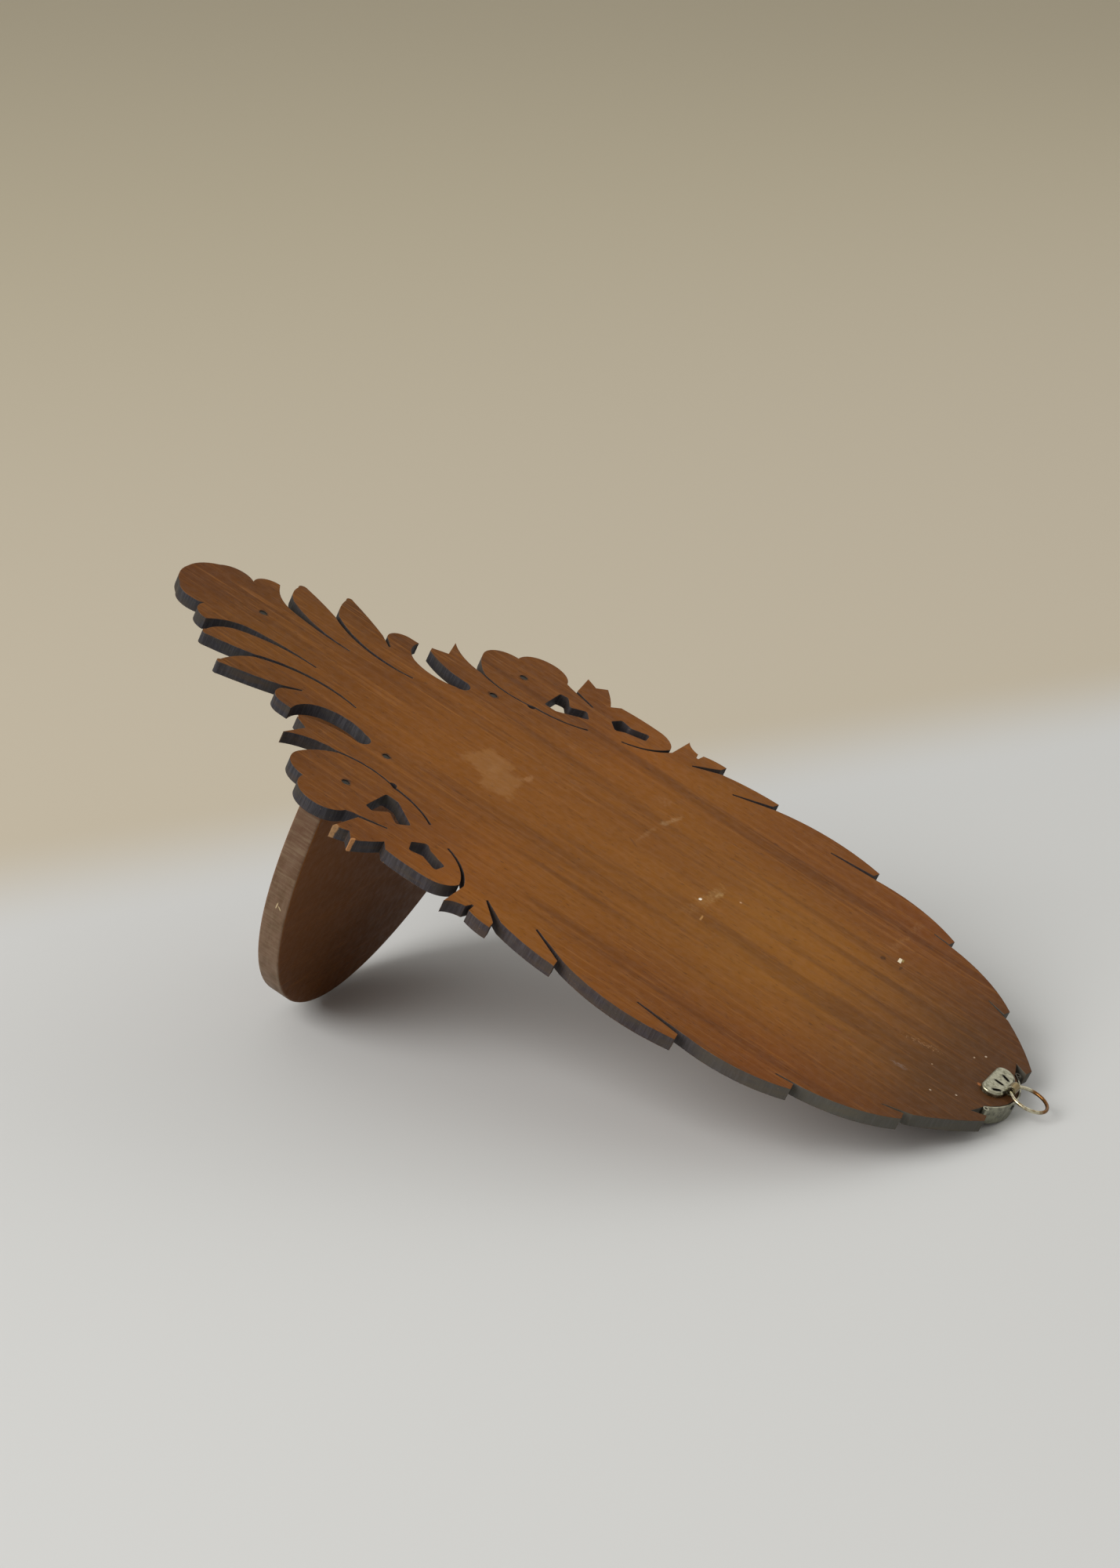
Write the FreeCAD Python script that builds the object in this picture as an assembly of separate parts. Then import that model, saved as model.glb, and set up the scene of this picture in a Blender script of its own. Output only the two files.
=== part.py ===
import FreeCAD
import Part
import math
import os

# Fret-sawn wall bracket: a leaf-shaped back panel, a half-oval shelf board nailed to its front,
# a bracket under the board, and a ring hanger pressed into the back.  It lies face down, as it is
# put on a table: on the shelf's front edge and on the end of the panel that carries the hanger.
#
# Every piece is drawn on the panel first, in millimetres:
#   u  along the panel, from the shelf (0) to the hanger end (+)
#   v  across it, from the centre line
#   z  out of the panel's back face, so that the wood lies below 0
# At the end all pieces are turned and set down together on the surface Z = 0.

Vector = FreeCAD.Vector

# ---- driving dimensions ------------------------------------------------------------------
panel_thickness = 4.0
foot_reach = 97.0            # shelf to the rounded lower end of the panel
crest_reach = 208.2          # shelf to the wood's end under the hanger
crest_wander = 0.9           # the sawn crest runs off the centre line by this at its end
kerf = 0.7                   # width of the fret saw's cut

shelf_thickness = 8.0
shelf_width = 152.0
shelf_depth = 96.0           # out from the panel's front face
shelf_edge_ease = 0.7

rib_thickness = 5.0          # the bracket under the shelf
rib_reach = 72.0             # along the panel, from the shelf's underside
rib_drop = 82.0              # along the shelf's underside, from the panel
rib_toe = 6.0

nail_shank = 1.5
nail_head = 2.6
nail_head_thickness = 0.6
nail_sink = 0.3              # how far the heads sit under the surface
shelf_nail_length = 24.0
shelf_nail_spots = ((0.8, -60.6), (-0.2, -33.8), (-0.9, 39.0), (-1.2, 61.4))
rib_nail_length = 9.0
rib_nail_spot = (-68.0, 0.8)

plate_offset = 2.8           # the hanger follows the crest, off the shelf's centre line
plate_length = 8.0
plate_half_width = 8.9
plate_height = 1.7
plate_sheet = 0.6
plate_dome = 0.8
prong_length = 2.6
prong_thickness = 0.5

hinge_setback = 2.5          # ring's hinge line, in from the wood's end
wire_diameter = 1.1
ring_diameter = 12.8         # outside
ring_set_in = 0.2            # the ring's wire bows to both sides of the hinge line inside the loop
loop_bore = 2.0
loop_wall = 0.55
loop_width = 4.4

strip_sheet = 0.5
strip_height = 5.9           # wider than the wood is thick, so it stands out at the front
strip_rise = 0.1             # the strip's edge over the back face
strip_curl = 1.0             # outer radius of its rolled ends
strip_gap = 0.35             # groove between the wood's back edge and the strip
strip_gap_depth = 0.9
brad_head = 1.5
brad_shank = 0.9
brad_length = 7.0
brad_offset = -2.2
brad_depth = 1.4             # under the back face

# ---- outline helpers ---------------------------------------------------------------------


def line(end):
    return [end]


def arc(through, end):
    return [through, end]


def edges_of(start, steps, lift):
    """Edges through a list of steps, each a line (one point) or an arc (two points)."""
    edges = []
    here = Vector(start[0], start[1], lift)
    for step in steps:
        points = [Vector(p[0], p[1], lift) for p in step]
        if len(points) == 1:
            edges.append(Part.LineSegment(here, points[0]).toShape())
        else:
            edges.append(Part.Arc(here, points[0], points[1]).toShape())
        here = points[-1]
    return edges


def mirrored(start, steps):
    """The same steps on the other side of the centre line, walked back to the start."""
    nodes = [start] + [step[-1] for step in steps]
    back = []
    for index in range(len(steps) - 1, -1, -1):
        target = (nodes[index][0], -nodes[index][1])
        if len(steps[index]) == 2:
            through = steps[index][0]
            back.append([(through[0], -through[1]), target])
        else:
            back.append([target])
    return back


def face_of(start, steps, lift=0.0):
    return Part.Face(Part.Wire(edges_of(start, steps, lift)))


def cylinder(radius, length, base, direction):
    return Part.makeCylinder(radius, length, Vector(*base), Vector(*direction))


# ---- back panel --------------------------------------------------------------------------
# One half is drawn and mirrored.  Then its stations are stretched from the shelf line, so that
# foot and crest keep their shape when a reach changes, and the crest is bent off the centre line.
drawn_foot = 97.0
drawn_crest = 208.2
wander_start = 120.0


def at(u, v):
    reach = foot_reach / drawn_foot if u < 0 else crest_reach / drawn_crest
    bend = max(0.0, (u - wander_start) / (drawn_crest - wander_start))
    return (u * reach, v + crest_wander * bend ** 2)


def foot_steps():
    """Lower end: a round knob, a small lobe and four curled leaves with saw cuts between."""
    end_gap = kerf
    return [
        arc((-96.0, 6.6), (-92.3, 12.2)),
        arc((-87.4, 16.3), (-80.8, 15.0)),
        arc((-80.2, 20.3), (-75.2, 22.9)),
        line((-73.3, 19.5)),
        arc((-67.6, 13.9), (-61.5, 11.9)),
        arc((-51.0, 10.5), (-40.5, 10.4)),
        line((-40.4, 10.4 + end_gap)),
        arc((-55.5, 13.1), (-67.0, 18.6)),
        arc((-70.2, 23.0), (-71.4, 28.6)),
        arc((-71.5, 30.6), (-69.8, 31.2)),
        arc((-62.3, 28.5), (-54.9, 25.2)),
        arc((-38.0, 17.4), (-20.5, 18.2)),
        line((-20.6, 18.2 + end_gap)),
        arc((-37.6, 18.7), (-54.3, 26.9)),
        arc((-57.0, 31.8), (-58.9, 39.6)),
        arc((-59.0, 41.4), (-57.4, 41.3)),
        arc((-49.0, 37.2), (-40.3, 32.2)),
        line((-35.3, 27.7)),
        line((-34.9, 27.7 + end_gap)),
        line((-39.1, 33.2)),
        arc((-39.0, 38.4), (-34.6, 41.1)),
        line((-31.3, 41.2)),
        arc((-30.6, 34.8), (-26.3, 29.7)),
        arc((-18.2, 27.6), (-10.2, 29.6)),
        arc((-7.0, 33.2), (-9.6, 36.2)),
        arc((-18.8, 37.3), (-26.9, 41.4)),
        line((-27.5, 43.6)),
        line((-22.6, 46.5)),
        line((-25.1, 55.8)),
        arc((-19.4, 50.6), (-10.4, 47.6)),
    ]


def waist_steps():
    """Beside the shelf: the two-lobed flower, a pointed leaf, a scroll and two small leaves."""
    end_gap = kerf
    hole = (9.7, 46.6)
    bit = 1.3
    return [
        arc((-0.8, 45.2), (hole[0] - bit, hole[1] - 0.5)),
        arc((hole[0], hole[1] - bit), (hole[0] + bit, hole[1] + 0.2)),
        arc((20.6, 49.4), (27.9, 53.9)),
        line((27.4, 53.9 + end_gap)),
        arc((20.1, 50.1), (hole[0] + 0.8, hole[1] + bit)),
        line((hole[0] - 0.8, hole[1] + 0.4)),
        arc((-0.7, 46.0), (-9.2, 48.2)),
        arc((-13.6, 53.4), (-16.7, 60.6)),
        arc((-15.6, 67.1), (-8.5, 71.0)),
        arc((-6.6, 77.3), (-0.8, 80.6)),
        arc((5.8, 79.2), (9.0, 74.4)),
        line((10.8, 73.5)),
        line((21.2, 69.7)),
        line((21.5, 69.7 + end_gap)),
        line((13.2, 74.0)),
        line((11.3, 86.0)),
        line((15.7, 83.4)),
        line((18.5, 87.2)),
        arc((21.8, 82.6), (24.6, 77.4)),
        line((27.0, 80.9)),
        arc((35.0, 81.6), (42.4, 81.3)),
        arc((46.9, 79.1), (49.4, 74.4)),
        arc((45.9, 67.5), (37.2, 60.6)),
        line((37.7, 60.6 - end_gap)),
        arc((46.8, 66.9), (50.6, 73.6)),
        line((50.9, 86.8)),
        arc((53.4, 83.8), (56.2, 82.6)),
        line((56.9, 79.8)),
        line((57.6, 79.8)),
        line((57.9, 83.6)),
        arc((61.6, 84.9), (66.0, 85.3)),
    ]


# The long oval over the shelf: each leaf's outer edge starts behind the tip before it, bulges
# and ends in its own tip, and a tapering saw slit runs in behind the tip.
#         start           bulge           tip             slit's inner end
crest_leaves = (
    ((66.9, 79.4), (76.8, 82.2), (87.2, 83.3), (74.7, 71.4)),
    ((88.5, 78.7), (106.8, 82.9), (126.9, 80.3), (111.0, 74.2)),
    ((128.3, 75.1), (145.5, 74.3), (160.1, 67.8), (153.6, 64.9)),
    ((161.9, 63.3), (176.0, 57.6), (188.2, 47.2), (180.9, 46.0)),
    ((189.8, 41.4), (198.8, 31.3), (205.8, 21.2), (200.6, 20.1)),
)
first_slit_end = (58.3, 73.1)
tip_face = 3.4               # length of the cut-off end of a leaf
crest_corner = (202.9, 13.6)
crest_quarter = (207.1, 6.5)


def slit(tip, inner, mouth):
    """In behind a leaf's tip and out again to where the next leaf starts."""
    return [
        line((tip[0] - 0.6, tip[1] - tip_face)),
        line((inner[0], inner[1] + kerf / 2)),
        line((inner[0] + kerf / 2, inner[1] - kerf / 2)),
        line(mouth),
    ]


def crest_steps():
    steps = slit((66.0, 85.3), first_slit_end, crest_leaves[0][0])
    for index, (start, bulge, tip, inner) in enumerate(crest_leaves):
        steps.append(arc(bulge, tip))
        last = index == len(crest_leaves) - 1
        mouth = crest_corner if last else crest_leaves[index + 1][0]
        steps += slit(tip, inner, mouth)
    steps.append(arc(crest_quarter, (drawn_crest, 0.0)))
    return steps


def opening(side, corners):
    """A fret opening with rounded corners, cut right through."""
    points = [Vector(*at(u, v * side), -panel_thickness - 1) for u, v in corners]
    wire = Part.makePolygon(points + [points[0]])
    block = Part.Face(wire).extrude(Vector(0, 0, panel_thickness + 2))
    upright = [e for e in block.Edges if abs(e.BoundBox.ZLength - panel_thickness - 2) < 1e-6]
    return block.makeFillet(opening_corner, upright)


opening_corner = 0.9
fret_openings = (
    ((11.2, 53.2), (15.6, 53.4), (24.6, 61.0), (21.6, 65.2), (17.0, 61.2), (13.6, 66.4), (10.9, 65.6)),
    ((29.2, 68.8), (32.7, 64.6), (35.2, 67.2), (41.9, 70.2), (41.2, 75.2), (35.3, 72.2), (31.0, 73.6)),
)

panel_start = (-drawn_foot, 0.0)
half = foot_steps() + waist_steps() + crest_steps()
outline = [[at(*p) for p in step] for step in half + mirrored(panel_start, half)]
panel_start = at(*panel_start)
back_panel = face_of(panel_start, outline, -panel_thickness)
back_panel = back_panel.extrude(Vector(0, 0, panel_thickness))
for corners in fret_openings:
    for side in (-1, 1):
        back_panel = back_panel.cut(opening(side, corners))

# ---- shelf board -------------------------------------------------------------------------
# A half oval that stands square on the panel's front face, centred on the nail line.


def make_shelf():
    under = -shelf_thickness / 2
    front = -panel_thickness
    right = Vector(under, shelf_width / 2, front)
    left = Vector(under, -shelf_width / 2, front)
    centre = Vector(under, 0, front)
    deepest = Vector(under, 0, front - shelf_depth)
    if shelf_depth >= shelf_width / 2:
        oval = Part.Ellipse(deepest, right, centre)
        start = oval.parameter(right)
        curve = Part.ArcOfEllipse(oval, start, start + math.pi)
        if curve.value((2 * start + math.pi) / 2).z > front:
            curve = Part.ArcOfEllipse(oval, start + math.pi, start + 2 * math.pi)
    else:
        oval = Part.Ellipse(right, deepest, centre)
        curve = Part.ArcOfEllipse(oval, 0, math.pi)
    wire = Part.Wire([curve.toShape(), Part.LineSegment(left, right).toShape()])
    board = Part.Face(wire).extrude(Vector(shelf_thickness, 0, 0))
    rims = [e for e in board.Edges if e.BoundBox.ZLength > 1 and e.BoundBox.XLength < 1e-3]
    return board.makeFillet(shelf_edge_ease, rims)


shelf_board = make_shelf()

# ---- bracket under the shelf ---------------------------------------------------------------
# A sawn rib on the centre line, in the corner between the panel and the shelf's underside.


def make_rib():
    top = -shelf_thickness / 2
    front = -panel_thickness
    toe = top - rib_reach
    side = -rib_thickness / 2

    def corner(u, z):
        return Vector(u, side, z)

    cusp_u = top - 0.34 * rib_reach
    cusp_z = front - 0.42 * rib_drop
    a = corner(top, front)
    b = corner(toe, front)
    c = corner(toe, front - rib_toe)
    d = corner(cusp_u, cusp_z)
    e = corner(cusp_u + 3.0, cusp_z - 2.0)
    f = corner(top - rib_toe, front - rib_drop)
    g = corner(top, front - rib_drop)
    sag_cd = corner((toe + cusp_u) / 2 + 6.0, (front - rib_toe + cusp_z) / 2 + 5.0)
    sag_ef = corner(cusp_u + 13.0, (cusp_z + front - rib_drop) / 2 + 2.0)
    edges = [
        Part.LineSegment(a, b).toShape(),
        Part.LineSegment(b, c).toShape(),
        Part.Arc(c, sag_cd, d).toShape(),
        Part.LineSegment(d, e).toShape(),
        Part.Arc(e, sag_ef, f).toShape(),
        Part.LineSegment(f, g).toShape(),
        Part.LineSegment(g, a).toShape(),
    ]
    return Part.Face(Part.Wire(edges)).extrude(Vector(0, rib_thickness, 0))


support_bracket = make_rib()

# ---- nails -------------------------------------------------------------------------------


def nail(u, v, length):
    """A wire nail driven in from the back, with its head just under the surface."""
    top = -nail_sink
    head = cylinder(nail_head / 2, nail_head_thickness, (u, v, top), (0, 0, -1))
    shank_top = top - nail_head_thickness
    point = nail_shank
    shank = cylinder(nail_shank / 2, length - point, (u, v, shank_top), (0, 0, -1))
    tip_top = shank_top - length + point
    tip = Part.makeCone(nail_shank / 2, 0.15, point, Vector(u, v, tip_top), Vector(0, 0, -1))
    return head.fuse([shank, tip]).removeSplitter()


def nail_hole(u, v, length):
    """The room that a nail takes up, open to the back."""
    well = cylinder(nail_head / 2, nail_sink + 1, (u, v, 1), (0, 0, -1))
    return nail(u, v, length).fuse(well)


shelf_nails = [nail(u, v, shelf_nail_length) for u, v in shelf_nail_spots]
rib_nail = nail(*rib_nail_spot, rib_nail_length)
for u, v in shelf_nail_spots:
    hole = nail_hole(u, v, shelf_nail_length)
    back_panel = back_panel.cut(hole)
    shelf_board = shelf_board.cut(hole)
rib_hole = nail_hole(*rib_nail_spot, rib_nail_length)
back_panel = back_panel.cut(rib_hole)
support_bracket = support_bracket.cut(rib_hole)

# ---- ring hanger -------------------------------------------------------------------------
# A fan-shaped pressing lies on the back.  Three prongs are struck down out of it into the wood,
# and its neck is rolled into a loop that holds the ring.
hinge_u = crest_reach - hinge_setback
hinge_v = plate_offset
loop_radius = loop_bore / 2 + loop_wall
hinge_z = loop_radius


def fan(inset, height):
    """The plate's outline, smaller by inset all round, as a block on the back face."""
    half_width = plate_half_width - inset
    tail = hinge_u - plate_length + inset
    neck_u = hinge_u - 0.4
    neck_v = max(loop_width / 2 - inset / 2, 0.5)

    def spot(u, v):
        return (u, hinge_v + v)

    shoulder_u = tail + 3.2 - inset
    steps = [
        [spot(tail, half_width - 2.7)],
        [spot(tail + 0.9, half_width - 0.8), spot(shoulder_u, half_width)],
        [spot(tail + 5.9 - 2 * inset, half_width - 1.5), spot(neck_u - 0.6 - inset, neck_v + 2.4)],
        [spot(neck_u, neck_v)],
    ]
    centre_tail = spot(tail, 0)
    other = []
    nodes = [centre_tail] + [s[-1] for s in steps]
    for index in range(len(steps) - 1, -1, -1):
        target = nodes[index]
        target = (target[0], 2 * hinge_v - target[1])
        if len(steps[index]) == 2:
            through = steps[index][0]
            other.append([(through[0], 2 * hinge_v - through[1]), target])
        else:
            other.append([target])
    closing = [spot(neck_u, -neck_v)]
    return face_of(centre_tail, steps + [closing] + other).extrude(Vector(0, 0, height))


#        in from the hinge, across, heading
slots = ((3.3, -6.1, -46.0), (4.3, -1.3, 4.0), (3.7, 3.2, 30.0))
slot_length = 2.8
slot_width = 0.9


def slot_frames():
    """Centre and heading of the three slots that fan out from the neck."""
    return [(hinge_u - inward, hinge_v + across, heading) for inward, across, heading in slots]


def turned_box(length, width, low, high, u, v, spread):
    box = Part.makeBox(length, width, high - low, Vector(-length / 2, -width / 2, low))
    box.rotate(Vector(0, 0, 0), Vector(0, 0, 1), -spread)
    box.translate(Vector(u, v, 0))
    return box


def prong(u, v, spread):
    """A tooth bent down along one side of its slot, pointed at the bottom."""
    half_length = 1.3
    shift = -(slot_width - prong_thickness) / 2
    top = Vector(-half_length, shift, plate_height - plate_sheet)
    points = [
        top,
        Vector(half_length, shift, plate_height - plate_sheet),
        Vector(half_length, shift, 0),
        Vector(0, shift, -prong_length),
        Vector(-half_length, shift, 0),
        top,
    ]
    tooth = Part.Face(Part.makePolygon(points)).extrude(Vector(0, -prong_thickness, 0))
    tooth.rotate(Vector(0, 0, 0), Vector(0, 0, 1), -spread)
    tooth.translate(Vector(u, v, 0))
    return tooth


def make_plate():
    outer = fan(0.0, plate_height)
    top_rim = [e for e in outer.Edges if e.BoundBox.ZMin > plate_height - 1e-6]
    outer = outer.makeFillet(plate_dome, top_rim)
    plate = outer.cut(fan(plate_sheet, plate_height - plate_sheet))
    barrel_start = (hinge_u, hinge_v - loop_width / 2, hinge_z)
    bore_start = (hinge_u, hinge_v - loop_width, hinge_z)
    for u, v, spread in slot_frames():
        slot = turned_box(slot_length, slot_width, 0.2, plate_height + 1, u, v, spread)
        plate = plate.cut(slot)
    barrel = cylinder(loop_radius, loop_width, barrel_start, (0, 1, 0))
    plate = plate.fuse(barrel)
    teeth = [prong(*frame) for frame in slot_frames()]
    plate = plate.fuse(teeth)
    plate = plate.cut(cylinder(loop_bore / 2, 2 * loop_width, bore_start, (0, 1, 0)))
    return plate.removeSplitter(), teeth


hanger_plate, plate_teeth = make_plate()
back_panel = back_panel.cut(plate_teeth)

ring_radius = (ring_diameter - wire_diameter) / 2
ring_centre = Vector(hinge_u + ring_radius - ring_set_in, hinge_v, hinge_z)
hanger_ring = Part.makeTorus(ring_radius, wire_diameter / 2, ring_centre, Vector(0, 0, 1))

# ---- metal strip on the crest's end --------------------------------------------------------
# A nickelled strip is bent round the end of the wood, rolled back at both ends and held by a brad.
strip_low = strip_rise - strip_height
end_points = [at(crest_corner[0], side * crest_corner[1]) for side in (1, -1)]
end_middle = at(drawn_crest, 0.0)


def end_arc(lift):
    corners = [Vector(p[0], p[1], lift) for p in end_points]
    return Part.Arc(corners[0], Vector(end_middle[0], end_middle[1], lift), corners[1]).toShape()


end_centre = end_arc(0).Curve.Center
end_radius = end_arc(0).Curve.Radius


def spoke_point(point, radius, lift):
    spoke = Vector(point[0], point[1], 0) - end_centre
    spot = end_centre + spoke.normalize() * radius
    return Vector(spot.x, spot.y, lift)


def end_band(inner_radius, outer_radius, low, height):
    """A curved band that follows the wood's end, between two radii."""
    first, last = end_points
    corners = [spoke_point(p, r, low) for r in (inner_radius, outer_radius) for p in (first, last)]
    middles = [spoke_point(end_middle, r, low) for r in (inner_radius, outer_radius)]
    edges = [
        Part.Arc(corners[0], middles[0], corners[1]).toShape(),
        Part.LineSegment(corners[1], corners[3]).toShape(),
        Part.Arc(corners[3], middles[1], corners[2]).toShape(),
        Part.LineSegment(corners[2], corners[0]).toShape(),
    ]
    return Part.Face(Part.Wire(edges)).extrude(Vector(0, 0, height))


def make_strip():
    band = end_band(end_radius, end_radius + strip_sheet, strip_low, strip_height)
    axes = [spoke_point(p, end_radius + strip_curl, strip_low) for p in end_points]
    curls = [cylinder(strip_curl, strip_height, tuple(axis), (0, 0, 1)) for axis in axes]
    rolled = band.fuse(curls)
    for axis in axes:
        eye = cylinder(strip_curl - strip_sheet, strip_height, tuple(axis), (0, 0, 1))
        rolled = rolled.cut(eye)
    return rolled


def make_brad():
    """A round-headed brad through the strip, a little to one side, into the end of the wood."""
    outer_radius = end_radius + strip_sheet
    swing = math.asin(brad_offset / outer_radius)
    direction = Vector(-math.cos(swing), -math.sin(swing), 0)
    spot = end_centre - direction * outer_radius
    spot.z = -brad_depth
    head = cylinder(brad_head / 2, 0.25, tuple(spot - direction * 0.25), tuple(direction))
    shank = cylinder(brad_shank / 2, brad_length, tuple(spot), tuple(direction))
    return head.fuse(shank).removeSplitter()


tip_strip = make_strip()
tip_brad = make_brad()
groove = end_band(end_radius - strip_gap, end_radius, -strip_gap_depth, strip_gap_depth)
back_panel = back_panel.cut([tip_strip, tip_brad, groove])
tip_strip = tip_strip.cut(tip_brad)

# ---- setting it down -----------------------------------------------------------------------
# The panel leans on the shelf's eased front edge and on its crest end, so the lean follows from
# where those two touch the surface.
ease_u = shelf_thickness / 2 - shelf_edge_ease
ease_z = shelf_edge_ease - panel_thickness - shelf_depth
run = crest_reach + strip_sheet - ease_u
rise = strip_low - ease_z
lean = math.degrees(math.atan2(rise, run) + math.asin(shelf_edge_ease / math.hypot(run, rise)))
turn = FreeCAD.Rotation(Vector(0, 1, 0), lean)

pieces = {
    "back_panel": back_panel,
    "shelf_board": shelf_board,
    "support_bracket": support_bracket,
    "shelf_nails": Part.makeCompound(shelf_nails),
    "bracket_nail": rib_nail,
    "hanger_plate": hanger_plate,
    "hanger_ring": hanger_ring,
    "tip_strip": tip_strip,
    "strip_brad": tip_brad,
}

standing = FreeCAD.Placement(Vector(0, 0, 0), turn)
for shape in pieces.values():
    shape.Placement = standing.multiply(shape.Placement)
whole = Part.makeCompound(list(pieces.values())).BoundBox
shift = Vector(-(whole.XMin + whole.XMax) / 2, -(whole.YMin + whole.YMax) / 2, -whole.ZMin)

os.makedirs("parts", exist_ok=True)
for name, shape in pieces.items():
    shape.translate(shift)
    shape.exportStep(os.path.join("parts", name + ".step"))
    print(name, "valid", shape.isValid(), "solids", len(shape.Solids), "mm3", round(shape.Volume, 2))


def placed(u, v, z):
    spot = turn.multVec(Vector(u, v, z)) + shift
    return tuple(round(c, 4) for c in spot)


print("lean", round(lean, 4), "box", whole)
print("hinge", placed(hinge_u, hinge_v, hinge_z), "ring centre", placed(*ring_centre))
print("wall face", placed(100, 0, 0), "shelf top", placed(shelf_thickness / 2, 0, -50))
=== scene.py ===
import bpy
import math
from mathutils import Matrix, Vector

# A small fret-sawn wall shelf, put down on its face, so that it leans on the shelf board's front
# edge and on the metal strip at the hanger end.  The sections follow the order in which it was
# made: panel, shelf board, rib, nails, hanger plate, ring, strip.  Sizes of grain, marks and wear
# are in millimetres, and everything else is in metres.

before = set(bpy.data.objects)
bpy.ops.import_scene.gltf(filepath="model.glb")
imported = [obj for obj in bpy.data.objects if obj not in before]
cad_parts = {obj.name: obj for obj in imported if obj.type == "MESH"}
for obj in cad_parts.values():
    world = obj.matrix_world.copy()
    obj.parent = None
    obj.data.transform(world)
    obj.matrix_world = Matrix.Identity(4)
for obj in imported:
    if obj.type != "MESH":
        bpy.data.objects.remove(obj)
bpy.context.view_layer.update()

# ---- back panel ----------------------------------------------------------------------------
# One board of fretwork walnut, 4 mm thick, planed, stained and rubbed with oil.  The back is dry,
# scuffed and darker towards the hanger, with hardly any shine; the fret-sawn edges took the stain
# nearly black.

LEAN = math.radians(24.6532)
BACK_NORMAL = (math.sin(LEAN), 0.0, math.cos(LEAN))
UP_THE_PANEL = (math.cos(LEAN), 0.0, -math.sin(LEAN))
ACROSS_THE_PANEL = (0.0, 1.0, 0.0)
# added after turning, this puts zero on the panel's back, behind the middle of the shelf board
PANEL_START_MM = (88.2188, 0.0, -61.3470)
FOOT_MM, HANGER_MM = -100.0, 210.0     # ends of the range in which tones are given along it
MIDDLE_MM, SIDES_MM = 22, 58           # off the centre line: middle tones up to, side tones from
EASED_ARRIS = 0.00035                  # corners rubbed round by hand, radius


def linear(hex_colour):
    """Linear colour of an sRGB hex value."""
    parts = [int(hex_colour[i:i + 2], 16) / 255 for i in (1, 3, 5)]
    return (*[p / 12.92 if p <= 0.04045 else ((p + 0.055) / 1.055) ** 2.4 for p in parts], 1.0)


def add(tree, kind, feeds=None, out=0, **settings):
    """Adds a shader node; feeds gives an input a value or another node's output.  Returns the
    output numbered out, or the node itself where it has none."""
    made = tree.nodes.new("ShaderNode" + kind)
    for name, value in settings.items():
        setattr(made, name, value)
    for name, value in (feeds or {}).items():
        if isinstance(value, bpy.types.NodeSocket):
            tree.links.new(value, made.inputs[name])
        else:
            made.inputs[name].default_value = value
    return made.outputs[out] if made.outputs else made


def finish_called(name):
    """An empty material and the panel's own millimetres: along it, across it, out of its back."""
    finish = bpy.data.materials.new(name)
    finish.use_nodes = True
    tree = finish.node_tree
    tree.nodes.clear()
    place = add(tree, "Mapping", {
        "Vector": add(tree, "TexCoord", out=3), "Scale": (1000, 1000, 1000),
        "Rotation": (0, -LEAN, 0), "Location": PANEL_START_MM})
    return finish, tree, place


def reach_from(tree, place, centre, half_sizes, heading, about="Z_AXIS", square=False):
    """How far a point is from a mark's centre, with 1 at its rim.  The mark is turned by heading
    degrees, is an ellipse or a rectangle, and goes right through where half_sizes has two."""
    scale = [1 / half for half in half_sizes] + [0.0] * (3 - len(half_sizes))
    offset = add(tree, "VectorMath", {0: place, 1: (*centre, 0.0)[:3]}, operation="SUBTRACT")
    turned = add(tree, "VectorRotate", {"Vector": offset, "Angle": -math.radians(heading)},
                 rotation_type=about)
    fitted = add(tree, "VectorMath", {0: turned, 1: scale}, operation="MULTIPLY")
    if not square:
        return add(tree, "VectorMath", {0: fitted}, out=1, operation="LENGTH")
    sides = add(tree, "SeparateXYZ", {
        0: add(tree, "VectorMath", {0: fitted}, operation="ABSOLUTE")}).node.outputs
    return add(tree, "Math", {0: sides[0], 1: sides[1]}, operation="MAXIMUM")


# How stained walnut is made up, coarse to fine: length and width in mm, noise detail, warp, the
# noise levels between which it comes in, its share, its tone, and how far it stands out.  Real
# pores are 0.1 to 0.3 mm wide and fibres finer still, so both are drawn coarser to show.
WALNUT_FIGURE = (
    (150, 9.0, 2.5, 0.35, 0.46, 0.66, 0.42, "#47270d", 0.0),    # growth rings cut nearly flat
    (60, 24.0, 3.0, 0.20, 0.40, 0.70, 0.30, "#633710", 0.0),    # stain lying unevenly
    (45, 2.2, 3.0, 0.50, 0.50, 0.70, 0.34, "#8f5a24", 0.1),     # lighter bands of fibre
    (14, 0.8, 3.0, 0.30, 0.50, 0.72, 0.42, "#946029", 0.4),     # single fibres, drawn coarse
    (9, 1.1, 2.0, 0.30, 0.60, 0.76, 0.36, "#341d0c", -0.5),     # pores, drawn 3 times as wide
    (2.6, 0.45, 1.0, 0.00, 0.62, 0.72, 0.42, "#24140a", -0.9),  # short open pores
)


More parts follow.
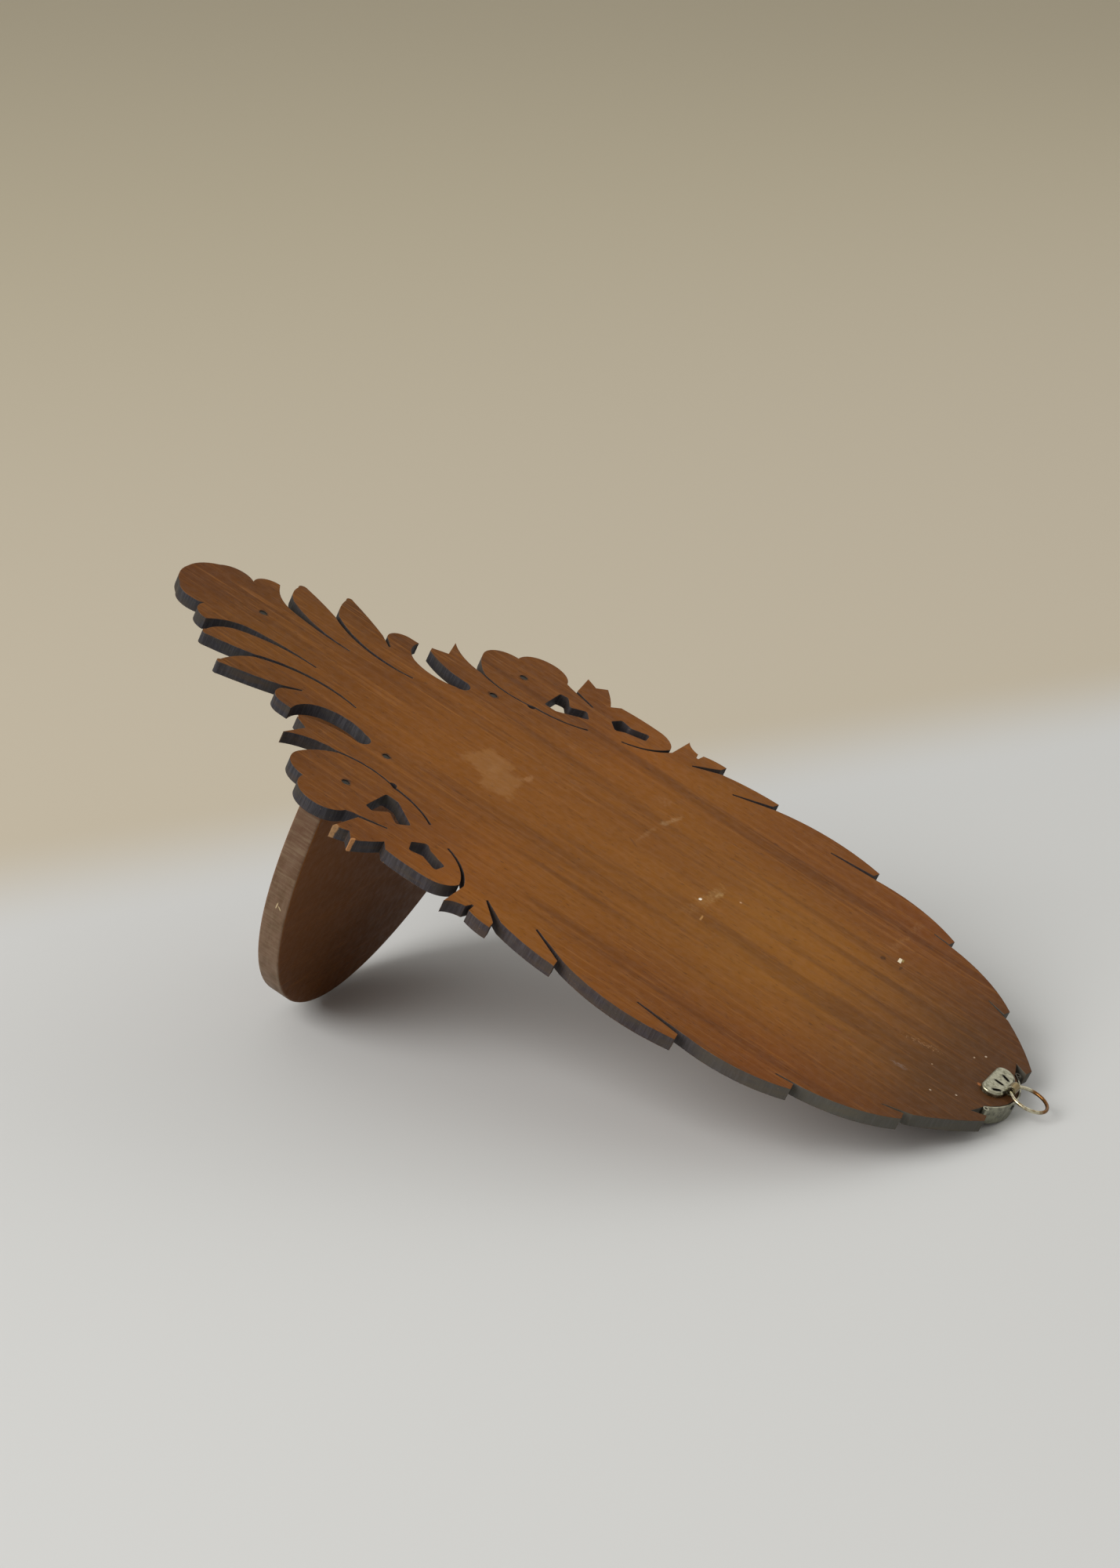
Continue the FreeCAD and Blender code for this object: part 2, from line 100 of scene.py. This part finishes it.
def stained_walnut(name, middle, sides, figure, grain_axes, through, saw_axes, sawn):
    """Stained walnut before its surface: its material, tree, place, edges, colour and relief.

    middle and sides are tones at stations along the panel and figure is how strongly the grain
    shows.  grain_axes picks (grain, width, depth) and saw_axes (two along the cut, thickness) out
    of the panel's axes, through is the board's face normal, and sawn has the tones of its edges."""
    finish, tree, place = finish_called(name)
    axes = add(tree, "SeparateXYZ", {0: place}).node.outputs
    grain = add(tree, "CombineXYZ", {i: axes[k] for i, k in enumerate(grain_axes)})
    body = []
    for stations in (middle, sides):
        ramp = add(tree, "ValToRGB", {0: add(tree, "MapRange", {
            "Value": axes[0], "From Min": FOOT_MM, "From Max": HANGER_MM})})
        stops = ramp.node.color_ramp.elements
        for station, tone in stations:
            stops.new((station - FOOT_MM) / (HANGER_MM - FOOT_MM)).color = linear(tone)
        stops.remove(stops[0])
        stops.remove(stops[-1])
        body.append(ramp)
    off_centre = add(tree, "Math", {0: axes[1]}, operation="ABSOLUTE")
    colour = add(tree, "Mix", {
        0: add(tree, "MapRange", {
            "Value": off_centre, "From Min": MIDDLE_MM, "From Max": SIDES_MM}),
        6: body[0], 7: body[1]}, out=2, data_type="RGBA")
    relief = add(tree, "Math", {0: 0.5, 1: 0.0})    # half way: fibres rise from it, pores sink
    # the figure shows less towards the hanger
    calm = add(tree, "MapRange", {
        "Value": axes[0], "From Min": 155, "From Max": 192, "To Min": 1.0, "To Max": 0.45})
    # W keeps the noise of each row apart from the others
    for row, figured in enumerate(WALNUT_FIGURE):
        length, width, detail, warp, low, high, share, tone, lift = figured
        drawn = add(tree, "VectorMath", {0: grain, 1: (1 / length, 1 / width, 1 / width)},
                    operation="MULTIPLY")
        noise = add(tree, "TexNoise", {
            "Vector": drawn, "W": 3.7 * row + 1.3, "Scale": 1.0, "Detail": detail,
            "Roughness": 0.6, "Distortion": warp}, noise_dimensions="4D")
        shown = add(tree, "MapRange", {"Value": noise, "From Min": low, "From Max": high},
                    interpolation_type="SMOOTHSTEP")
        amount = add(tree, "Math", {
            0: shown, 1: add(tree, "Math", {0: calm, 1: share * figure}, operation="MULTIPLY")},
            operation="MULTIPLY")
        colour = add(tree, "Mix", {0: amount, 6: colour, 7: linear(tone)}, out=2, data_type="RGBA")
        relief = add(tree, "Math", {0: shown, 1: lift, 2: relief}, operation="MULTIPLY_ADD")

    # the sawn edges: black stained end grain, the saw's strokes 0.5 mm apart across it, dust in
    # it.  Size of the noise in mm, the levels between which it comes in, share, tone
    cut = add(tree, "CombineXYZ", {i: axes[k] for i, k in enumerate(saw_axes)})
    edge_colour = linear(sawn[0])
    strokes = None
    for size, low, high, share, tone in (
            ((0.55, 0.55, 7.0), 0.40, 0.66, 0.42, sawn[1]),
            ((7, 7, 3.5), 0.42, 0.68, 0.75, sawn[2]),
            ((18, 18, 2.2), 0.45, 0.70, 0.55, sawn[3]),
            ((0.5, 0.5, 0.5), 0.64, 0.74, 0.40, sawn[4])):
        noise = add(tree, "TexNoise", {
            "Vector": add(tree, "VectorMath", {0: cut, 1: [1 / s for s in size]},
                          operation="MULTIPLY"),
            "W": 40.0 + size[0], "Scale": 1.0, "Detail": 3.0, "Roughness": 0.6},
            noise_dimensions="4D")
        strokes = strokes or noise
        shown = add(tree, "MapRange", {
            "Value": noise, "From Min": low, "From Max": high, "To Max": share},
            interpolation_type="SMOOTHSTEP")
        edge_colour = add(tree, "Mix", {0: shown, 6: edge_colour, 7: linear(tone)}, out=2,
                          data_type="RGBA")
    # what turns from the board's own face by about half a right angle or more is sawn edge
    facing = add(tree, "VectorMath", {
        0: add(tree, "NewGeometry", out=3), 1: through}, out=1, operation="DOT_PRODUCT")
    on_edge = add(tree, "MapRange", {
        "Value": add(tree, "Math", {0: facing}, operation="ABSOLUTE"), "From Min": 0.5,
        "From Max": 0.85, "To Min": 1.0, "To Max": 0.0})
    colour = add(tree, "Mix", {0: on_edge, 6: colour, 7: edge_colour}, out=2, data_type="RGBA")
    relief = add(tree, "Mix", {0: on_edge, 2: relief, 3: strokes})
    return finish, tree, place, on_edge, colour, relief


def oiled_surface(tree, place, colour, relief, worn_tone, worn_share):
    """Rubbed oil on a dry board: a low, broken sheen in patches of about 3 mm; pores and fibres
    stand 0.1 mm at most, and corners are eased and worn paler."""
    eased = add(tree, "Bevel", {"Radius": EASED_ARRIS}, samples=6)
    sharp = add(tree, "NewGeometry", out=1)
    turned = add(tree, "VectorMath", {0: eased, 1: sharp}, out=1, operation="DOT_PRODUCT")
    broken = add(tree, "TexNoise", {"Vector": place, "Scale": 0.35, "Detail": 4.0})
    rubbed = add(tree, "MapRange", {
        "Value": turned, "From Min": 0.99, "From Max": 0.80, "To Max": worn_share})
    here = add(tree, "MapRange", {"Value": broken, "From Min": 0.42, "From Max": 0.62})
    amount = add(tree, "Math", {0: rubbed, 1: here}, operation="MULTIPLY")
    colour = add(tree, "Mix", {0: amount, 6: colour, 7: linear(worn_tone)}, out=2,
                 data_type="RGBA")
    pores = add(tree, "Bump", {
        "Height": relief, "Strength": 0.55, "Distance": 0.00010, "Normal": eased})
    sheen = add(tree, "MapRange", {
        "Value": broken, "From Min": 0.35, "From Max": 0.65, "To Min": 0.50, "To Max": 0.66})
    surface = add(tree, "BsdfPrincipled", {
        "Base Color": colour, "Roughness": sheen, "IOR": 1.5, "Specular IOR Level": 0.11,
        "Normal": pores})
    add(tree, "OutputMaterial", {"Surface": surface})


def give_finish(node_name, finish):
    """Puts one finish on a piece, in place of the plain one it came with."""
    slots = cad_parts[node_name].data.materials
    slots.clear()
    slots.append(finish)


walnut, tree, place, on_edge, colour, relief = stained_walnut(
    "oiled_walnut_back",
    ((-97, "#593311"), (-60, "#6b400d"), (-30, "#6d3f09"), (0, "#7d4a0e"), (45, "#804d11"),
     (85, "#835115"), (115, "#8b5919"), (140, "#885618"), (165, "#73491b"), (185, "#583818"),
     (206, "#4e3119")),
    ((-97, "#3b261b"), (-60, "#4c2d0d"), (-40, "#4f2c09"), (-5, "#6c3f0f"), (20, "#6a3c0d"),
     (45, "#844d10"), (70, "#814e10"), (100, "#77450e"), (125, "#73420e"), (150, "#713e0e"),
     (170, "#683b10"), (206, "#432714")),
    1.0, (0, 1, 2), BACK_NORMAL, (0, 1, 2),
    ("#2b2a2e", "#4a494e", "#37342f", "#43382d", "#6f6a64"))

# dust and rubbed stain on the sawn edges: brown along the middle, grey towards the hanger.  Where
# it starts and is full along the panel, most share, tone
for start, full, most, tone in ((0, 60, 0.05, "#7c5440"), (120, 172, 0.32, "#6d6e62")):
    dusty = add(tree, "Math", {0: on_edge, 1: add(tree, "MapRange", {
        "Value": add(tree, "SeparateXYZ", {0: place}), "From Min": start, "From Max": full,
        "To Max": most})}, operation="MULTIPLY")
    colour = add(tree, "Mix", {0: dusty, 6: colour, 7: linear(tone)}, out=2, data_type="RGBA")

# wear on the back, and one patch of painted sheen.  Along and across the panel, half length, half
# width, heading in degrees, square corners (1) or round (0), how ragged, tone, share
WEAR_AND_SHEEN_ON_BACK = (
    (19.0, -1.0, 6.0, 8.6, -16, 1, 0.20, "#96693a", 0.55),       # where a label was peeled off
    (27.4, -7.4, 6.0, 9.2, 12, 1, 0.20, "#96693a", 0.55),
    (31.6, 4.4, 1.5, 2.8, 0, 0, 0.40, "#a87e55", 0.45),
    (69.3, 16.0, 0.9, 9.0, 0, 0, 0.55, "#9b744b", 0.38),        # long curved scuff
    (70.4, 31.5, 1.1, 7.0, -10, 0, 0.55, "#a8865c", 0.55),
    (63.0, 41.0, 3.2, 4.5, 15, 0, 0.70, "#926a49", 0.34),
    (69.0, 6.6, 0.5, 2.6, 55, 0, 0.40, "#3a2110", 0.45),
    (99.2, 4.5, 2.4, 8.5, -4, 1, 0.65, "#a27c48", 0.55),        # scuff with a chip of white in it
    (100.2, 8.0, 0.8, 5.0, -4, 0, 0.60, "#b2905f", 0.60),
    (98.0, -9.0, 2.2, 6.5, 4, 1, 0.70, "#93693c", 0.45),
    (97.3, -0.9, 0.5, 0.8, 0, 0, 0.10, "#f4ecde", 0.95),
    (102.4, -10.6, 0.35, 1.9, 8, 1, 0.30, "#b98d55", 0.85),
    (106.1, 11.5, 0.45, 0.45, 0, 0, 0.10, "#c9a683", 0.80),
    (148.6, 46.0, 1.6, 10.0, 2, 1, 0.70, "#966a3e", 0.45),      # scuff below the far edge
    (148.4, 61.0, 1.6, 5.5, 0, 1, 0.70, "#8e6540", 0.40),
    (152.9, 36.8, 0.6, 1.7, 8, 1, 0.15, "#efe6cc", 0.90),
    (153.6, 37.6, 0.4, 1.1, 8, 1, 0.25, "#9c8c58", 0.80),
    (148.7, 32.1, 0.9, 1.3, 0, 0, 0.30, "#2f1a0d", 0.70),
    (154.9, 32.6, 0.5, 1.4, 0, 0, 0.30, "#33200f", 0.60),
    (176.0, -20.3, 3.2, 1.3, 6, 0, 0.60, "#85756d", 0.55),      # grey and red smudges
    (154.8, -23.9, 3.2, 1.3, 6, 0, 0.60, "#7d4430", 0.55),
    (161.6, -23.3, 1.8, 1.2, 0, 0, 0.60, "#84503a", 0.50),
    (197.4, -3.1, 1.1, 0.8, 0, 0, 0.40, "#bb7440", 0.85),       # chip beside the hanger
    (194.6, -16.6, 0.4, 0.4, 0, 0, 0.10, "#b9a793", 0.85),
    (188.1, -22.6, 0.4, 0.4, 0, 0, 0.10, "#b9a793", 0.80),
    (190.5, 9.5, 0.35, 0.5, 0, 0, 0.10, "#b39c82", 0.75),
    (183.0, -8.6, 0.3, 0.4, 0, 0, 0.10, "#a98d70", 0.75),
    (192.8, 14.0, 0.4, 0.6, 0, 0, 0.10, "#b9a793", 0.85),
    (0.8, -60.6, 2.0, 2.0, 0, 0, 0.35, "#1d130b", 0.85),        # darker round the nails
    (-0.2, -33.8, 2.0, 2.0, 0, 0, 0.35, "#1d130b", 0.85),
    (-0.9, 39.0, 2.0, 2.0, 0, 0, 0.35, "#1d130b", 0.85),
    (-1.2, 61.4, 2.0, 2.0, 0, 0, 0.35, "#1d130b", 0.85),
    (-68.0, 0.8, 1.9, 1.9, 0, 0, 0.35, "#1d130b", 0.80),
    (11.6, -85.5, 1.4, 1.5, 0, 0, 0.30, "#ab8358", 0.80),       # splinters off the leaf tips
    (18.7, -87.0, 0.8, 1.6, 0, 0, 0.25, "#b98250", 0.85),
    (200.5, 2.5, 8.0, 11.5, 0, 0, 0.30, "#26190f", 0.14),       # darker round the hanger plate
    (120.0, -49.0, 5.0, 2.0, 12, 0, 0.60, "#8f5f3c", 0.30),     # handling
    # painted sheen: this light patch stands for a soft sheen on the back near its middle
    (41.0, 16.0, 3.0, 5.0, 0, 0, 0.70, "#8f6136", 0.30),
    # handling
    (5.0, -26.0, 12.0, 4.0, 0, 0, 0.70, "#8d5c2d", 0.30),
)
# the rim of a ragged mark is torn, and the board shows through the mark in flecks along the grain
coarse_tear = add(tree, "TexNoise", {"Vector": place, "Scale": 0.30, "Detail": 5.0,
                                     "Roughness": 0.65})
rubbed_grain = add(tree, "TexNoise", {
    "Vector": add(tree, "VectorMath", {0: place, 1: (0.9, 1.8, 1.8)}, operation="MULTIPLY"),
    "Scale": 1.0, "Detail": 3.0, "Roughness": 0.7})
for along, across, half_length, half_width, heading, square, ragged, tone, share in WEAR_AND_SHEEN_ON_BACK:
    reach = reach_from(tree, place, (along, across), (half_length, half_width), heading,
                       square=square)
    torn = add(tree, "Math", {0: coarse_tear, 1: 5.0 * ragged, 2: reach},
               operation="MULTIPLY_ADD")
    left = add(tree, "MapRange", {
        "Value": rubbed_grain, "From Min": 0.40, "From Max": 0.60,
        "To Min": max(0.0, share * (1.2 - 1.8 * ragged)), "To Max": share})
    amount = add(tree, "MapRange", {
        "Value": torn, "From Min": 1.0 + 2.5 * ragged, "From Max": 0.86 + 1.9 * ragged,
        "To Max": left})
    colour = add(tree, "Mix", {0: amount, 6: colour, 7: linear(tone)}, out=2, data_type="RGBA")

# pale flecks, half a millimetre, rubbed up in a streak short of the hanger and a few elsewhere
flecks = add(tree, "TexNoise", {
    "Vector": add(tree, "VectorMath", {0: place, 1: (1.25, 2.2, 2.2)}, operation="MULTIPLY"),
    "Scale": 1.0, "Detail": 2.0, "Roughness": 0.6})
from_streak = reach_from(tree, place, (176.5, -1.2), (13, 2.6), 17)
level = add(tree, "MapRange", {
    "Value": from_streak, "From Min": 0.2, "From Max": 1.2, "To Min": 0.56, "To Max": 0.745})
amount = add(tree, "Math", {0: add(tree, "Math", {0: flecks, 1: level}, operation="SUBTRACT"),
                            1: 14.0}, operation="MULTIPLY", use_clamp=True)
amount = add(tree, "Math", {0: amount, 1: 0.75}, operation="MULTIPLY")
colour = add(tree, "Mix", {0: amount, 6: colour, 7: linear("#b98e66")}, out=2, data_type="RGBA")
oiled_surface(tree, place, colour, relief, "#8d6c50", 0.55)
give_finish("back_panel", walnut)

# ---- shelf board ---------------------------------------------------------------------------
# A half oval of the same walnut, 8 mm thick, glued and nailed to the panel's face, with its grain
# along the wall.  Its faces are darker than the panel; handling has greyed the rounded rim.

shelf_tones = ((-97, "#5f3a1b"), (206, "#5f3a1b"))
shelf_walnut, tree, place, on_edge, colour, relief = stained_walnut(
    "oiled_walnut_shelf",
    shelf_tones, shelf_tones, 0.4, (1, 2, 0), UP_THE_PANEL, (1, 2, 0),
    ("#6c5544", "#806955", "#57432f", "#7d6c5a", "#978570"))
# next to the panel the faces are lighter, and the rim is darker there, partly its red stain and
# partly painted shade where it meets the panel; further out it is rubbed grey
out_of_the_wall = add(tree, "SeparateXYZ", {0: place}, out=2)
lighter = add(tree, "Math", {
    0: add(tree, "Math", {0: 1.0, 1: on_edge}, operation="SUBTRACT"),
    1: add(tree, "MapRange", {"Value": out_of_the_wall, "From Min": -78, "From Max": -14,
                              "To Max": 0.9})}, operation="MULTIPLY")
colour = add(tree, "Mix", {0: lighter, 6: colour, 7: linear("#774a22")}, out=2, data_type="RGBA")
# stain and painted shade: the rim darkens towards the panel
stain_and_shade_near_panel = add(tree, "Math", {0: on_edge, 1: add(tree, "MapRange", {
    "Value": out_of_the_wall, "From Min": -62, "From Max": -12, "To Max": 0.75})},
    operation="MULTIPLY")
colour = add(tree, "Mix", {0: stain_and_shade_near_panel, 6: colour, 7: linear("#523a2c")}, out=2, data_type="RGBA")
# grey marks of handling across the rim, and two short nicks where it was knocked
rubbed = add(tree, "TexNoise", {
    "Vector": add(tree, "VectorMath", {0: place, 1: (0.10, 0.9, 0.9)}, operation="MULTIPLY"),
    "Scale": 1.0, "Detail": 4.0, "Roughness": 0.7})
grey = add(tree, "Math", {0: on_edge, 1: add(tree, "MapRange", {
    "Value": rubbed, "From Min": 0.46, "From Max": 0.70, "To Max": 0.34})}, operation="MULTIPLY")
colour = add(tree, "Mix", {0: grey, 6: colour, 7: linear("#85765f")}, out=2, data_type="RGBA")
for spot, half_sizes, heading in (((0.1, -69.6, -42.5), (1.5, 0.9, 0.20), -82),
                                  ((1.2, -69.4, -43.0), (0.9, 0.9, 0.18), -130)):
    reach = reach_from(tree, place, spot, half_sizes, heading, about="Y_AXIS")
    nick = add(tree, "MapRange", {"Value": reach, "From Min": 1.2, "From Max": 0.8, "To Max": 0.7})
    colour = add(tree, "Mix", {0: nick, 6: colour, 7: linear("#c4b28c")}, out=2, data_type="RGBA")
oiled_surface(tree, place, colour, relief, "#94806c", 0.6)
give_finish("shelf_board", shelf_walnut)

# ---- bracket under the shelf ----------------------------------------------------------------
# A sawn rib of 5 mm walnut in the corner under the board, pinned from the back; its grain runs
# along the wall panel.  It is as brown as the board, with near-black sawn edges.

rib_tones = ((-97, "#5c3a1c"), (206, "#5c3a1c"))
rib_walnut, tree, place, on_edge, colour, relief = stained_walnut(
    "oiled_walnut_rib", rib_tones, rib_tones, 0.7, (0, 2, 1), ACROSS_THE_PANEL, (0, 2, 1),
    ("#2c2219", "#4d3c2c", "#3d3126", "#4a3a2a", "#75624c"))
oiled_surface(tree, place, colour, relief, "#8d6c50", 0.5)
give_finish("support_bracket", rib_walnut)

# ---- nails -----------------------------------------------------------------------------------
# Cut lengths of iron wire with flat heads, driven from the back and sunk a little below it.  Old
# rust and wax leave the heads dark, greenish grey and dull, in patches of about half a millimetre.

iron, tree, place = finish_called("rusted_iron_wire")
rust = add(tree, "TexNoise", {"Vector": place, "Scale": 1.6, "Detail": 4.0, "Roughness": 0.65})
tone = add(tree, "Mix", {
    0: add(tree, "MapRange", {"Value": rust, "From Min": 0.40, "From Max": 0.62}),
    6: linear("#1b1813"), 7: linear("#3e3b32")}, out=2, data_type="RGBA")
bare = add(tree, "MapRange", {"Value": rust, "From Min": 0.45, "From Max": 0.60})
dull = add(tree, "MapRange", {"Value": rust, "From Min": 0.3, "From Max": 0.7, "To Min": 0.75,
                              "To Max": 0.42})
surface = add(tree, "BsdfPrincipled", {
    "Base Color": tone, "Metallic": bare, "Roughness": dull,
    "Normal": add(tree, "Bump", {"Height": rust, "Strength": 0.6, "Distance": 0.00012})})
add(tree, "OutputMaterial", {"Surface": surface})
for nails in ("shelf_nails", "bracket_nail", "strip_brad"):
    give_finish(nails, iron)

# ---- hanger plate ----------------------------------------------------------------------------
# Brass sheet pressed into a domed fan and nickel plated, with three prongs struck down into the
# wood.  The nickel is dull and greenish, with tarnish in patches of 1 to 2 mm; it has worn through
# to brass on the neck.

PRESSED_ARRIS = 0.00015                # corners of the pressed sheet, radius


def nickelled_brass(name, nickel, tarnish, brass_and_shade_tone, bare_and_shaded_spots, shaded_slots, roughness):
    """Nickel over brass: grey with tarnish in patches and worn through in places, with shade
    painted dark into slots, corners and hidden spots.

    The spots given next are places along and across the panel, with a radius, where the tone given
    before them shows: brass under worn nickel, and on the strip a painted shade.
    The rows given last are slots and corners painted dark with shade: each has its place along and
    across, half length, half width and heading."""
    finish, tree, place = finish_called(name)
    patches = add(tree, "TexNoise", {"Vector": place, "Scale": 0.62, "Detail": 4.0,
                                     "Roughness": 0.6})
    scratches = add(tree, "TexNoise", {"Vector": place, "Scale": 2.4, "Detail": 3.0})
    tone = add(tree, "Mix", {
        0: add(tree, "MapRange", {"Value": patches, "From Min": 0.42, "From Max": 0.64}),
        6: linear(nickel), 7: linear(tarnish)}, out=2, data_type="RGBA")
    flat = add(tree, "VectorMath", {0: place, 1: (1, 1, 0)}, operation="MULTIPLY")
    # bare brass where the nickel has worn through; on the strip these spots paint shade on the roll
    # behind the far leaf
    for along, across, radius in bare_and_shaded_spots:
        reach = add(tree, "VectorMath", {0: flat, 1: (along, across, 0)}, out=1,
                    operation="DISTANCE")
        broken = add(tree, "Math", {0: patches, 1: 0.5 * radius, 2: reach},
                     operation="MULTIPLY_ADD")
        bare = add(tree, "MapRange", {
            "Value": broken, "From Min": 1.40 * radius, "From Max": 1.10 * radius})
        tone = add(tree, "Mix", {0: bare, 6: tone, 7: linear(brass_and_shade_tone)}, out=2, data_type="RGBA")
    # painted shade: slots and corners are darkened nearly black, as shade inside the openings
    for along, across, half_length, half_width, heading in shaded_slots:
        reach = reach_from(tree, place, (along, across), (half_length, half_width), heading)
        painted_slot_shade = add(tree, "MapRange", {
            "Value": reach, "From Min": 1.15, "From Max": 0.85, "To Max": 0.88})
        tone = add(tree, "Mix", {0: painted_slot_shade, 6: tone, 7: linear("#211d16")}, out=2,
                   data_type="RGBA")
    dull = add(tree, "MapRange", {
        "Value": scratches, "From Min": 0.3, "From Max": 0.7, "To Min": roughness - 0.06,
        "To Max": roughness + 0.10})
    eased = add(tree, "Bevel", {"Radius": PRESSED_ARRIS}, samples=6)
    dents = add(tree, "Bump", {
        "Height": scratches, "Strength": 0.3, "Distance": 0.00004, "Normal": eased})
    surface = add(tree, "BsdfPrincipled", {
        "Base Color": tone, "Metallic": 1.0, "Roughness": dull, "Normal": dents})
    add(tree, "OutputMaterial", {"Surface": surface})
    return finish


# the last five rows paint shade into the three prong slots and two corners
give_finish("hanger_plate", nickelled_brass(
    "worn_nickel_plate", "#a9a894", "#73725d", "#8d7c56", ((206.4, 2.8, 2.2),),
    ((202.4, -3.3, 1.9, 0.75, 46), (201.4, 1.5, 1.8, 0.75, -4), (202.0, 6.0, 1.9, 0.75, -30),
     (204.6, -1.6, 1.0, 0.5, 70), (204.6, 7.2, 1.0, 0.5, -70)), 0.28))

# ---- hanging ring ----------------------------------------------------------------------------
# Brass wire, 1.1 mm, closed into a ring through the plate's loop.  The nickel is left on one side
# and worn to brown brass on the outer and far side.

give_finish("hanger_ring", nickelled_brass(
    "worn_brass_wire", "#c9c4ac", "#98886a", "#7a5530",
    ((217.5, 5.5, 6.0), (213.0, 9.5, 3.0)), (), 0.25))

# ---- strip round the panel's end ---------------------------------------------------------------
# Half-millimetre nickelled strip bent round the end and rolled back at both ends, held by a brad.
# It has gone grey and dull, and the roll behind the far leaf is painted black as shade.

# the near-black tone at the far roll is painted shade, where the far leaf hides it
give_finish("tip_strip", nickelled_brass(
    "dull_nickel_strip", "#a09f8c", "#77766a", "#3d372c", ((202.6, 14.4, 3.0),), (), 0.38))

# ---- floor, light and camera -------------------------------------------------------------------
# A pale cloth-coloured floor that turns beige far behind, a large soft window at the front left,
# a weak lamp behind and an even pale room.

FLOOR_HALF = 6.0
AWAY_FROM_THE_WINDOW = (-0.835, 0.55, 0)       # the way in which the floor turns beige
floor_mesh = bpy.data.meshes.new("floor")
floor_mesh.from_pydata(
    [(x * FLOOR_HALF, y * FLOOR_HALF, 0) for x, y in ((-1, -1), (1, -1), (1, 1), (-1, 1))], [],
    [(0, 1, 2, 3)])
floor = bpy.data.objects.new("floor", floor_mesh)
bpy.context.scene.collection.objects.link(floor)
cloth = bpy.data.materials.new("pale_floor")
cloth.use_nodes = True
tree = cloth.node_tree
tree.nodes.clear()
behind = add(tree, "VectorMath", {0: add(tree, "TexCoord", out=3), 1: AWAY_FROM_THE_WINDOW},
             out=1, operation="DOT_PRODUCT")
far_off = add(tree, "MapRange", {"Value": behind, "From Min": 0.17, "From Max": 0.27},
              interpolation_type="SMOOTHSTEP")
further_off = add(tree, "MapRange", {"Value": behind, "From Min": 0.3, "From Max": 1.7},
                  interpolation_type="SMOOTHSTEP")
backdrop = add(tree, "Mix", {0: further_off, 6: linear("#bab2a1"), 7: linear("#b8b09a")}, out=2,
               data_type="RGBA")
tone = add(tree, "Mix", {0: far_off, 6: linear("#c5c8ca"), 7: backdrop}, out=2, data_type="RGBA")
surface = add(tree, "BsdfPrincipled", {"Base Color": tone, "Roughness": 0.9})
add(tree, "OutputMaterial", {"Surface": surface})
floor_mesh.materials.append(cloth)

scene = bpy.context.scene
scene.view_settings.view_transform = "Standard"
room = bpy.data.worlds.new("room")
scene.world = room
room.use_nodes = True
room.node_tree.nodes.clear()
glow = add(room.node_tree, "Background", {"Color": linear("#f5f0e7"), "Strength": 0.58})
add(room.node_tree, "OutputWorld", {"Surface": glow})

# where it hangs, width and height, watts, tone; both are aimed at the middle of the object
AIM = Vector((0, 0, 0.05))
for name, spot, size, power, tone in (
        ("window_light", (-1.125, -2.25, 1.80), (2.7, 1.8), 92, "#fffbf6"),
        ("room_light", (0.6, 1.6, 1.6), (2.0, 1.4), 6, "#fbfaf8")):
    lamp = bpy.data.lights.new(name, "AREA")
    lamp.shape = "RECTANGLE"
    lamp.size, lamp.size_y = size
    lamp.energy = power
    lamp.color = linear(tone)[:3]
    hung = bpy.data.objects.new(name, lamp)
    hung.location = spot
    hung.rotation_mode = "QUATERNION"
    hung.rotation_quaternion = (AIM - Vector(spot)).to_track_quat("-Z", "Y")
    scene.collection.objects.link(hung)

# the camera stands at the front right and looks down on the back through an 85 mm lens
lens = bpy.data.cameras.new("camera")
lens.sensor_width = 36.0
lens.lens = 85.0
lens.clip_start, lens.clip_end = 0.05, 30
camera = bpy.data.objects.new("camera", lens)
CAMERA_STANDS_AT = (0.4401619, -0.9642122, 0.4169474)
right = Vector((0.9027953, 0.4298241, 0.0145550))
up = Vector((-0.1418919, 0.2657377, 0.9535461))
back = Vector((0.4059893, -0.8629222, 0.3008953))
camera.matrix_world = (Matrix.Translation(CAMERA_STANDS_AT)
                       @ Matrix((right, up, back)).transposed().to_4x4())
scene.collection.objects.link(camera)
scene.camera = camera

bpy.context.view_layer.update()
